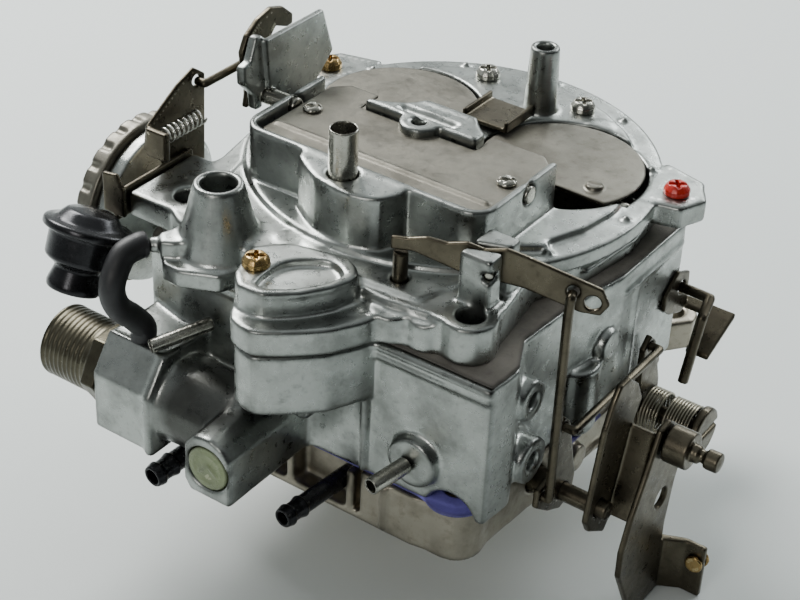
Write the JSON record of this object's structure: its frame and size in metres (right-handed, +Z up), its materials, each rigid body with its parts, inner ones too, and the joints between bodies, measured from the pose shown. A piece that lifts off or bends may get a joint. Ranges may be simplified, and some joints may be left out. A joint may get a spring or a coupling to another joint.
{
  "type": "four-barrel carburetor",
  "caption": "Four-barrel spread-bore downdraft carburetor: cast base, bowl and air horn, choke, air valve, linkages and tubes.",
  "frame": {"origin": "on the mounting face of the throttle body, on the centre line, between the primary and secondary bores", "axes": "+Z up through the bores towards the air cleaner, +X towards the throttle lever side, +Y towards the secondary bores (rear)"},
  "size_m": [0.219, 0.2031, 0.1694],
  "materials": {
    "casting": "satin silver-grey zinc casting, slightly pitted",
    "base": "satin warm grey casting",
    "steel": "bright steel",
    "zinc": "olive-brown plated steel",
    "plate": "dull plated steel plate",
    "brass": "yellow brass",
    "gasket": "fibre gasket",
    "seal": "violet gasket",
    "rubber": "black rubber",
    "black": "black coated",
    "red": "red coated screw",
    "olive": "dark olive plated steel",
    "float": "closed-cell float"
  },
  "bodies": {
    "carburetor_body": {"throttle_body": "base", "body_gasket": "seal", "float_bowl": "casting", "air_horn": "casting", "airhorn_gasket": "gasket", "bowl_vent_tube": "steel", "inlet_nut": "olive", "fuel_filter": "gasket", "float_pin": "steel", "choke_housing": "casting", "choke_cover": "zinc", "choke_coil": "brass", "side_bracket": "zinc", "link_stand": "casting", "vacuum_can": "black", "vacuum_hose": "rubber", "pump_lever_pin": "steel", "pump_spring": "steel", "anchor_bracket": "zinc", "anchor_rod": "zinc", "inlet_side_tube": "steel", "lower_left_tube": "black", "front_tube": "black", "vacuum_tube": "steel", "horn_screw_front": "brass", "horn_screw_side": "red", "horn_screw_rear_left": "steel", "horn_screw_rear_right": "steel", "horn_screw_left": "brass"},
    "primary_throttle": {"primary_shaft": "steel", "primary_plate_left": "brass", "primary_plate_right": "brass", "pump_arm": "zinc", "throttle_lever": "zinc", "throttle_stud": "zinc"},
    "secondary_throttle": {"secondary_shaft": "steel", "secondary_plate_left": "brass", "secondary_plate_right": "brass", "secondary_lever": "zinc", "secondary_spring_inner": "zinc", "secondary_spring_outer": "zinc"},
    "link_rod": {"secondary_link": "zinc"},
    "pump_push_rod": {"pump_rod": "zinc"},
    "pump_rocker": {"pump_lever": "zinc"},
    "pump_piston": {"pump_plunger": "brass"},
    "choke_valve": {"choke_shaft": "steel", "choke_plate": "plate", "choke_screw_left": "steel", "choke_screw_right": "steel", "choke_lever": "zinc"},
    "choke_bell_arm": {"choke_arm": "zinc", "choke_arm_spring": "steel"},
    "choke_link": {"choke_rod": "zinc"},
    "air_valve": {"air_valve_shaft": "steel", "air_valve_left": "plate", "air_valve_right": "plate"},
    "metering_rods": {"metering_hanger": "zinc"},
    "float_group": {"fuel_float": "float"},
    "needle": {"inlet_needle": "steel"},
    "power_valve": {"power_piston": "brass"}
  },
  "joints": [
    {"name": "throttle", "type": "hinge", "parent": "carburetor_body", "child": "primary_throttle", "pos_m": [0, -0.0155, 0.011], "axis": [-1, 0, 0], "range_deg": [0, 75], "stiffness_Nm_per_rad": 0.12, "springref_deg": -28.65},
    {"name": "secondary_throttle", "type": "hinge", "parent": "carburetor_body", "child": "secondary_throttle", "pos_m": [0, 0.04, 0.011], "axis": [-1, 0, 0], "range_deg": [0, 75.5]},
    {"name": "link_pivot", "type": "hinge", "parent": "primary_throttle", "child": "link_rod", "pos_m": [0.074, -0.019, 0.039], "axis": [1, 0, 0], "range_deg": [0, 75.5]},
    {"name": "pump_rod_pivot", "type": "hinge", "parent": "primary_throttle", "child": "pump_push_rod", "pos_m": [0.073, -0.0284, 0.017], "axis": [1, 0, 0], "range_deg": [0, 87]},
    {"name": "pump_lever_pivot", "type": "hinge", "parent": "carburetor_body", "child": "pump_rocker", "pos_m": [0.053, -0.034, 0.098], "axis": [0.3584, -0.9336, 0], "range_deg": [0, 15.6]},
    {"name": "pump_stroke", "type": "slide", "parent": "carburetor_body", "child": "pump_piston", "axis": [0, 0, -1], "range_m": [0, 0.008], "deforming": ["pump_spring"]},
    {"name": "choke", "type": "hinge", "parent": "carburetor_body", "child": "choke_valve", "pos_m": [0, -0.0023, 0.1042], "axis": [1, 0, 0], "range_deg": [0, 75]},
    {"name": "choke_arm_pivot", "type": "hinge", "parent": "carburetor_body", "child": "choke_bell_arm", "pos_m": [-0.0735, -0.025, 0.062], "axis": [1, 0, 0], "range_deg": [0, 12.7]},
    {"name": "choke_rod_pivot", "type": "hinge", "parent": "choke_bell_arm", "child": "choke_link", "pos_m": [-0.071, -0.019, 0.111], "axis": [-1, 0, 0], "range_deg": [0, 24.3]},
    {"name": "air_valve", "type": "hinge", "parent": "carburetor_body", "child": "air_valve", "pos_m": [0, 0.033, 0.0886], "axis": [-1, 0, 0], "range_deg": [0, 60], "stiffness_Nm_per_rad": 0.03, "springref_deg": -20.05},
    {"name": "rod_hanger", "type": "slide", "parent": "carburetor_body", "child": "metering_rods", "axis": [0, 0, 1], "range_m": [0, 0.0102]},
    {"name": "float_pivot", "type": "hinge", "parent": "carburetor_body", "child": "float_group", "pos_m": [-0.011, -0.0432, 0.064], "axis": [1, 0, 0], "range_deg": [0, 10]},
    {"name": "needle_lift", "type": "slide", "parent": "carburetor_body", "child": "needle", "axis": [0, 0, 1], "range_m": [0, 0.001]},
    {"name": "power_piston", "type": "slide", "parent": "carburetor_body", "child": "power_valve", "axis": [0, 0, 1], "range_m": [0, 0.003], "stiffness_N_per_m": 60, "springref_m": -0.003}
  ],
  "couplings": [
    {"joint": "secondary_throttle", "follows": "throttle", "ratio": 1},
    {"joint": "link_pivot", "follows": "throttle", "ratio": 1},
    {"joint": "pump_rod_pivot", "follows": "throttle", "ratio": 1.153},
    {"joint": "pump_lever_pivot", "follows": "throttle", "ratio": 0.205},
    {"joint": "pump_stroke", "follows": "throttle", "m_per_rad": 0.006},
    {"joint": "choke_arm_pivot", "follows": "choke", "ratio": 0.1655},
    {"joint": "choke_rod_pivot", "follows": "choke", "ratio": 0.3198},
    {"joint": "rod_hanger", "follows": "air_valve", "m_per_rad": 0.00955},
    {"joint": "needle_lift", "follows": "float_pivot", "m_per_rad": 0.00516}
  ]
}
